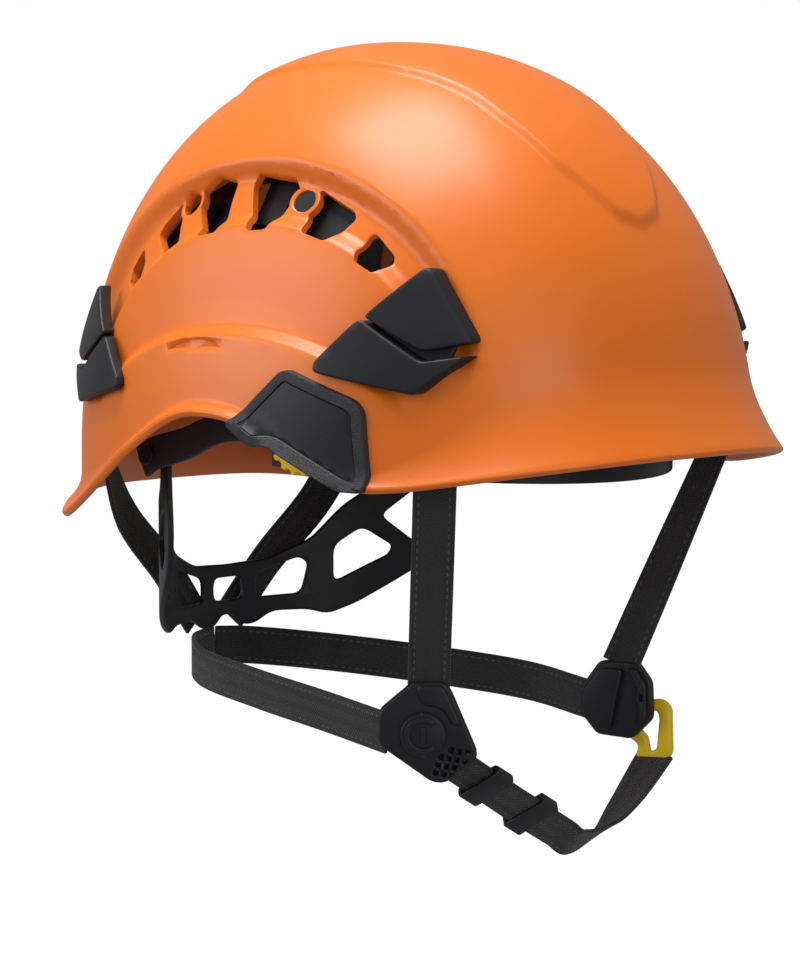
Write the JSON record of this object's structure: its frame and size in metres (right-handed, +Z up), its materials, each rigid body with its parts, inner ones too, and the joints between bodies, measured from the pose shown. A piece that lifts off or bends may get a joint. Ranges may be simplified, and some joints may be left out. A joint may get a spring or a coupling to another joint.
{
  "type": "arborist helmet",
  "caption": "Vented work-at-height helmet with a webbing cradle, a folding adjustable headband and a chin harness, sized for an adult head.",
  "frame": {"origin": "middle of the headband, level with the shell's rim at the temples, where the middle of the head sits", "axes": "+X the wearer's left, -Y the way the face looks, +Z up"},
  "size_m": [0.2276, 0.276, 0.2968],
  "materials": {
    "shell_plastic": "satin moulded shell",
    "black_plastic": "fine grained moulding",
    "webbing": "woven polyester webbing",
    "yellow_plastic": "satin moulding",
    "pad_foam": "fabric covered foam"
  },
  "bodies": {
    "helmet": {"shell": "shell_plastic", "forehead_pad": "pad_foam", "shutter_pin_rear_right": "black_plastic", "shutter_pin_rear_left": "black_plastic", "shutter_pin_front_right": "black_plastic", "shutter_pin_front_left": "black_plastic", "lamp_clip_front_right": "black_plastic", "lamp_clip_front_left": "black_plastic", "lamp_clip_rear_right": "black_plastic", "lamp_clip_rear_left": "black_plastic", "slot_cover_right": "black_plastic", "slot_cover_left": "black_plastic", "headband_front": "black_plastic", "adjuster_housing_right": "black_plastic", "adjuster_housing_left": "black_plastic", "cradle_anchor_front_right": "black_plastic", "cradle_anchor_front_left": "black_plastic", "cradle_anchor_side_right": "black_plastic", "cradle_anchor_side_left": "black_plastic", "cradle_anchor_rear_right": "black_plastic", "cradle_anchor_rear_left": "black_plastic", "strap_divider_right": "black_plastic", "strap_divider_left": "black_plastic", "cradle_strap_side": "webbing", "cradle_strap_right": "webbing", "cradle_strap_left": "webbing", "front_strap_right": "webbing", "front_strap_left": "webbing", "upper_rear_strap_right": "webbing", "upper_rear_strap_left": "webbing", "lower_rear_strap_right": "webbing", "lower_rear_strap_left": "webbing", "chin_strap": "webbing"},
    "shutter_right": {"vent_shutter_right": "black_plastic"},
    "shutter_left": {"vent_shutter_left": "black_plastic"},
    "wheel_right": {"adjuster_wheel_right": "yellow_plastic"},
    "wheel_left": {"adjuster_wheel_left": "yellow_plastic"},
    "arm_right": {"side_arm_right": "black_plastic", "pivot_pin_right": "black_plastic"},
    "arm_left": {"side_arm_left": "black_plastic", "pivot_pin_left": "black_plastic"},
    "rear_band": {"rear_headband": "black_plastic"},
    "dial": {"selector_dial": "black_plastic"},
    "keeper_upper": {"strap_keeper_upper": "black_plastic"},
    "keeper_lower": {"strap_keeper_lower": "black_plastic"},
    "hook": {"hook_clip": "yellow_plastic"}
  },
  "joints": [
    {"name": "vent_shutter_right", "type": "hinge", "parent": "helmet", "child": "shutter_right", "pos_m": [0, 0, 0.012], "axis": [1, 0, 0], "range_deg": [0, 7]},
    {"name": "vent_shutter_left", "type": "hinge", "parent": "helmet", "child": "shutter_left", "pos_m": [0, 0, 0.012], "axis": [1, 0, 0], "range_deg": [0, 7]},
    {"name": "headband_adjust", "type": "slide", "parent": "helmet", "child": "arm_right", "axis": [0, -1, 0], "range_m": [0, 0.012]},
    {"name": "headband_adjust_left", "type": "slide", "parent": "helmet", "child": "arm_left", "axis": [0, -1, 0], "range_m": [0, 0.012]},
    {"name": "adjuster_wheel_right", "type": "hinge", "parent": "helmet", "child": "wheel_right", "pos_m": [-0.0914, -0.029, 0.0145], "axis": [1, 0, 0], "range_deg": [0, 115]},
    {"name": "adjuster_wheel_left", "type": "hinge", "parent": "helmet", "child": "wheel_left", "pos_m": [0.0914, -0.029, 0.0145], "axis": [1, 0, 0], "range_deg": [0, 115]},
    {"name": "nape_fold", "type": "hinge", "parent": "arm_right", "child": "rear_band", "pos_m": [0, 0.062, 0.001], "axis": [-1, 0, 0], "range_deg": [0, 110]},
    {"name": "selector_dial", "type": "hinge", "parent": "helmet", "child": "dial", "pos_m": [-0.05734, -0.05468, -0.093], "axis": [-0.7317, -0.6816, 0], "range_deg": [0, 90]},
    {"name": "keeper_upper", "type": "slide", "parent": "helmet", "child": "keeper_upper", "axis": [0.8549, -0.0993, -0.5092], "range_m": [0, 0.006]},
    {"name": "keeper_lower", "type": "slide", "parent": "helmet", "child": "keeper_lower", "axis": [0.8549, -0.0993, -0.5092], "range_m": [0, 0.006]},
    {"name": "hook_release", "type": "hinge", "parent": "helmet", "child": "hook", "pos_m": [0.06232, -0.06165, -0.116], "axis": [-0.3, 0.9539, 0], "range_deg": [0, 35]}
  ],
  "couplings": [
    {"joint": "headband_adjust_left", "follows": "headband_adjust", "ratio": 1},
    {"joint": "adjuster_wheel_right", "follows": "headband_adjust", "rad_per_m": 166.67},
    {"joint": "adjuster_wheel_left", "follows": "headband_adjust", "rad_per_m": 166.67}
  ]
}
